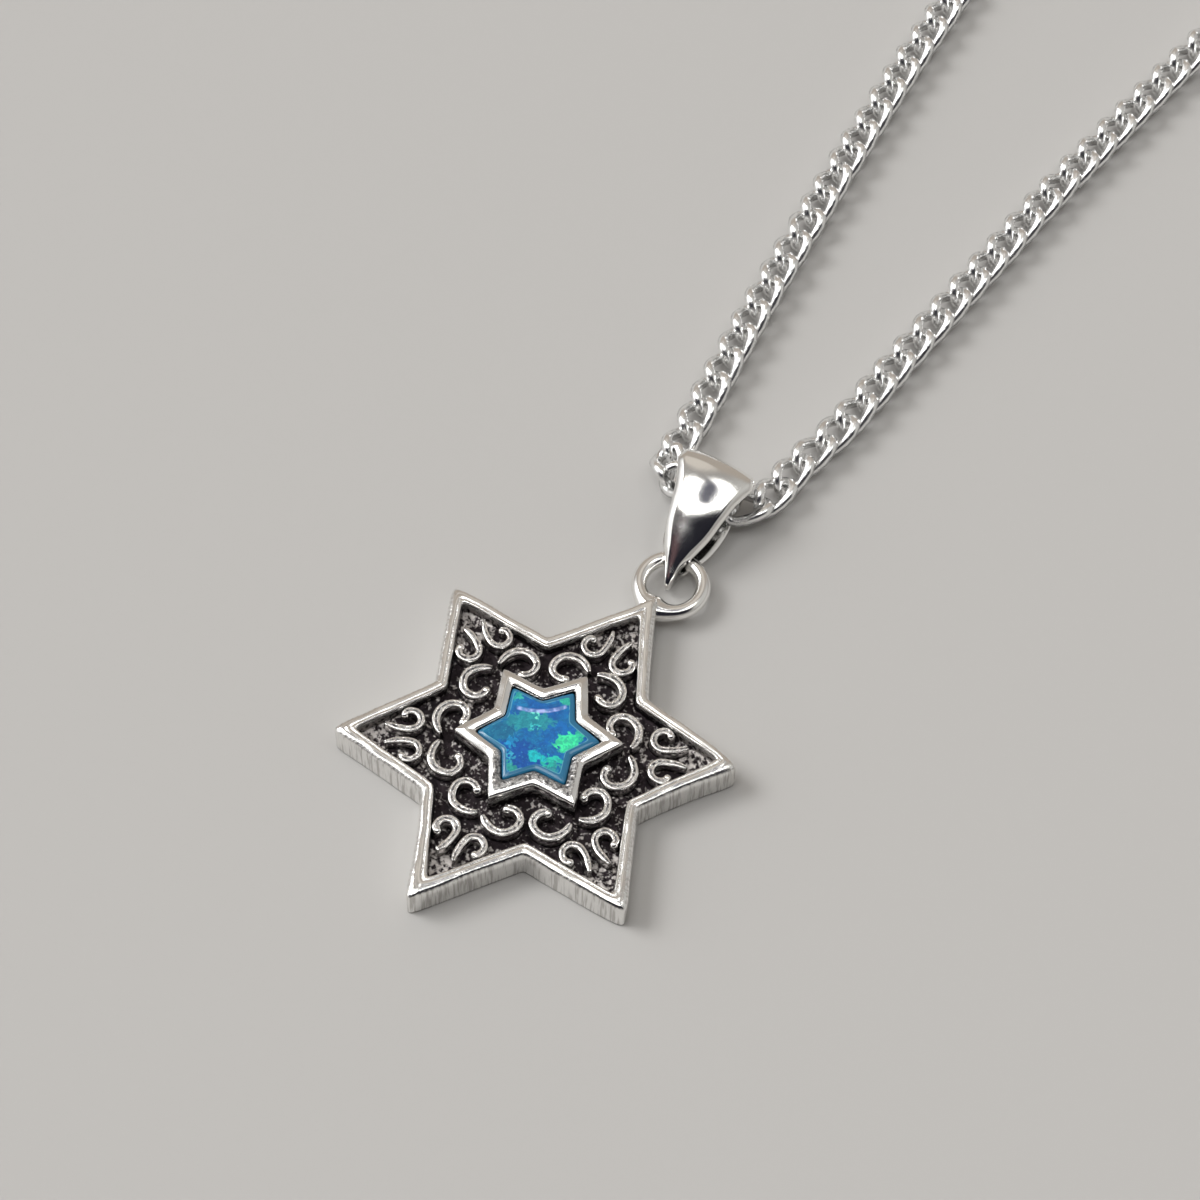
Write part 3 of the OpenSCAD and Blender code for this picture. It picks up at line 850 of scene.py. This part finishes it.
# Across the outer face the share a of the half width goes from -1 to 1. The height falls by the
# crown times a^2, and more so along the bevel at each edge.
half = outer_side[:, 2:3]
bevel = np.minimum(bail_bevel, 0.35 * half)
core = np.array([-1, -0.93, -0.8, -0.6, -0.35, -0.12, 0.12, 0.35, 0.6, 0.8, 0.93, 1]) * (half - bevel)
bevel_run = half - np.array([0, 0.12, 0.88, 1]) * bevel
bevel_drop = np.array([0.85, 0.72, 0.03, 0]) * bevel
lateral = np.concatenate([-bevel_run, core[:, 1:-1], bevel_run[:, ::-1]], 1)
fall = np.concatenate([bevel_drop, 0 * core[:, 1:-1], bevel_drop[:, ::-1]], 1)
towards = way - outer_side[:, :2]
towards /= np.linalg.norm(towards, axis=1)[:, None]
sunk = outer_side[:, 3:4] * (lateral / half) ** 2 + fall
outer_face = np.stack([
    lateral,
    outer_side[:, 0:1] + towards[:, 0:1] * sunk,
    outer_side[:, 1:2] + towards[:, 1:2] * sunk,
], -1)
across = np.linspace(1, -1, 10)
inner_face = np.stack([
    way_width[:, None] * across,
    way[:, 0:1] + 0 * across,
    way[:, 1:2] + 0 * across,
], -1)
strip = np.concatenate([outer_face, inner_face], 1)
x, y, z = (strip[..., k].copy() for k in range(3))
# The blunt tip is drawn out to a point, a little to the right.
blunt_end = np.clip(1 - y / tip_run, 0, 1)
x = x * (1 - tip_taper * blunt_end**2) + tip_bend * blunt_end
y = y - tip_draw * blunt_end**1.5
# The front leaf leans over to the right: it is turned about its length, the more so the higher up.
high = np.clip((z - lean_from) / lean_over, 0, 1) * math.sin(bail_lean)
x, z = x + (z - lean_middle) * high, z - x * high
# The whole bail is turned to the left about its tip.
strip[..., 0] = bail_tip[0] + x * math.cos(bail_turn) - y * math.sin(bail_turn)
strip[..., 1] = bail_tip[1] + x * math.sin(bail_turn) + y * math.cos(bail_turn)
strip[..., 2] = z

# The inner face is darkened to nearly black, but for its edges: painted shade.
painted_inner_shade = np.interp(np.arange(len(across)), [0, 2, 7, 9], [0, 1, 1, 0])
inside = np.concatenate([np.zeros(outer_face.shape[1]), painted_inner_shade])

bright_silver = bpy.data.materials.new("bright_silver")
tree = Tree(bright_silver)
haze = tree.noise(tree.place(), 0.8, 3.0, 0.6)
scuffs = tree.noise(tree.place((2.4, 0.5, 1.0)), 8.0, 3.0, 0.7)
silver = tree.mix(haze, (0.92, 0.91, 0.88), (0.97, 0.96, 0.94))
# Where inside is 1 the colour goes nearly black, the painted shade of the inner face.
tree.principled(
    Base_Color=tree.mix(tree.attribute("inside") * 0.8, silver, (0.030, 0.028, 0.030)),
    Metallic=1.0,
    Roughness=0.06 + haze * 0.08,
    Normal=tree.bump(scuffs, 0.003),
)
bail = skin("bail_sheet", strip[None], bright_silver, closed=True, inside=inside)
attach(bail, "root")
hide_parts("bail")

# Chain: curb chain of round wire. Each link is an oval, twisted so that it lies flat in the chain and
# passes through both its neighbours. The chain runs through the bail and lies in one loop on the
# floor, with its links tipped a little to the right.
chain_seat = (-1.419, 17.557)
chain_radius = 0.8
chain_lift = 0.55
lying_height = 0.94
pitch = 1.77
link_half_length = 1.2
link_half_width = 0.70
link_twist = 0.52
link_wire = 0.60
link_up = (0.176, 0, 1)
link_sight = 0.9
link_stray = 0.07
link_points = 16
link_sides = 5
chain_route = np.array([
    # across, along, lift
    (-1, 188.7, 0), (8.5, 187.7, 0), (20.5, 183.2, 0), (31.5, 173.7, 0), (39, 159.7, 0),
    (42, 142.7, 0), (40.5, 125.7, 0), (34.5, 109.7, 0), (26.5, 95.7, 0), (17.5, 80.2, 0),
    (10.7, 63.7, 0), (6.6, 48.7, 0), (4.5, 31, 0), (3.9, 22, 0), (3.5, 14.5, 0),
    (3.2, 8, 0), (2.7, 4.4, 0), (2.65, 2.4, 0.2), (2.4, 1, 0.8), (1.4, 0, 1),
    (-0.6, -0.15, 1), (-2.1, -0.3, 0.9), (-2.95, 0.5, 0.35), (-3.2, 2.4, 0),
    (-3.75, 5.7, 0), (-4.7, 11.2, 0), (-5.6, 17.3, 0), (-6.5, 24.2, 0), (-7.3, 31, 0),
    (-8.2, 39.5, 0), (-10.8, 52.5, 0), (-15.5, 66.7, 0), (-22.5, 80.7, 0), (-30.5, 93.7, 0),
    (-39.5, 109.7, 0), (-45.5, 126.7, 0), (-46.5, 144.7, 0), (-42.5, 161.7, 0),
    (-33.5, 176.7, 0), (-20.5, 186.2, 0), (-10, 188.7, 0),
])

route = smooth(chain_route, 60)
raised = (chain_radius + chain_lift - lying_height) * route[:, 2]
line = np.stack([chain_seat[0] + route[:, 0], chain_seat[1] + route[:, 1], lying_height + raised], -1)
gone = np.concatenate([[0], np.cumsum(np.linalg.norm(np.diff(line, axis=0), axis=1))])
count = int(gone[-1] // pitch)
stops = gone[-1] / 2 + pitch * (np.arange(count) - (count - 1) / 2)


def at(places):
    """Points of the chain's line at these lengths along it."""
    return np.stack([np.interp(places, gone, column) for column in line.T], -1)


# Each link has three axes: ahead along the chain, aside square to that and to link_up, and above
# square to both. All links lean a little their own way about the chain.
draw = np.random.default_rng(4)
middle = at(stops)
ahead = at(stops + link_sight) - at(stops - link_sight)
ahead /= np.linalg.norm(ahead, axis=1)[:, None]
aside = np.cross(ahead, link_up)
aside /= np.linalg.norm(aside, axis=1)[:, None]
lean = draw.normal(size=(count, 1)) * link_stray
aside = aside + lean * np.cross(aside, ahead)
aside /= np.linalg.norm(aside, axis=1)[:, None]
above = np.cross(aside, ahead)
# Wire of a link: its centre line is (a cos t, b sin t, h sin 2t) along, aside and above, and round it
# the wire is a circle in the plane square to that line.
t = np.linspace(0, 2 * np.pi, link_points, endpoint=False)
oval = np.stack([
    link_half_length * np.cos(t), link_half_width * np.sin(t), link_twist * np.sin(2 * t)
], -1)
run = np.stack([
    -link_half_length * np.sin(t), link_half_width * np.cos(t), 2 * link_twist * np.cos(2 * t)
], -1)
run /= np.linalg.norm(run, axis=1)[:, None]
outward = np.stack([np.cos(t), np.sin(t), 0 * t], -1)
outward -= run * np.einsum("ij,ij->i", outward, run)[:, None]
outward /= np.linalg.norm(outward, axis=1)[:, None]
binormal = np.cross(run, outward)
angle = np.linspace(0, 2 * np.pi, link_sides, endpoint=False)[None, :, None]
link = oval[:, None] + link_wire / 2 * (np.cos(angle) * outward[:, None] + np.sin(angle) * binormal[:, None])
axes = np.stack([ahead, aside, above], 1)
links = middle[:, None, None] + np.einsum("rsk,nkc->nrsc", link, axes)

chain_silver = bpy.data.materials.new("chain_silver")
tree = Tree(chain_silver)
haze = tree.noise(tree.place(), 1.2, 3.0, 0.6)
tree.principled(
    Base_Color=tree.mix(haze, (0.92, 0.92, 0.92), (0.98, 0.98, 0.97)),
    Metallic=1.0,
    Roughness=0.18 + haze * 0.14,
)
chain = skin("chain_links", links, chain_silver, closed=True)
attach(chain, "root")
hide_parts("chain")

# Clasp: plain silver ring with an eye soldered to each side, which joins the ends of the chain, far
# from the star. The frame's own solid is shown.
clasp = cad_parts["clasp"]
clasp.data.materials.clear()
clasp.data.materials.append(bright_silver)
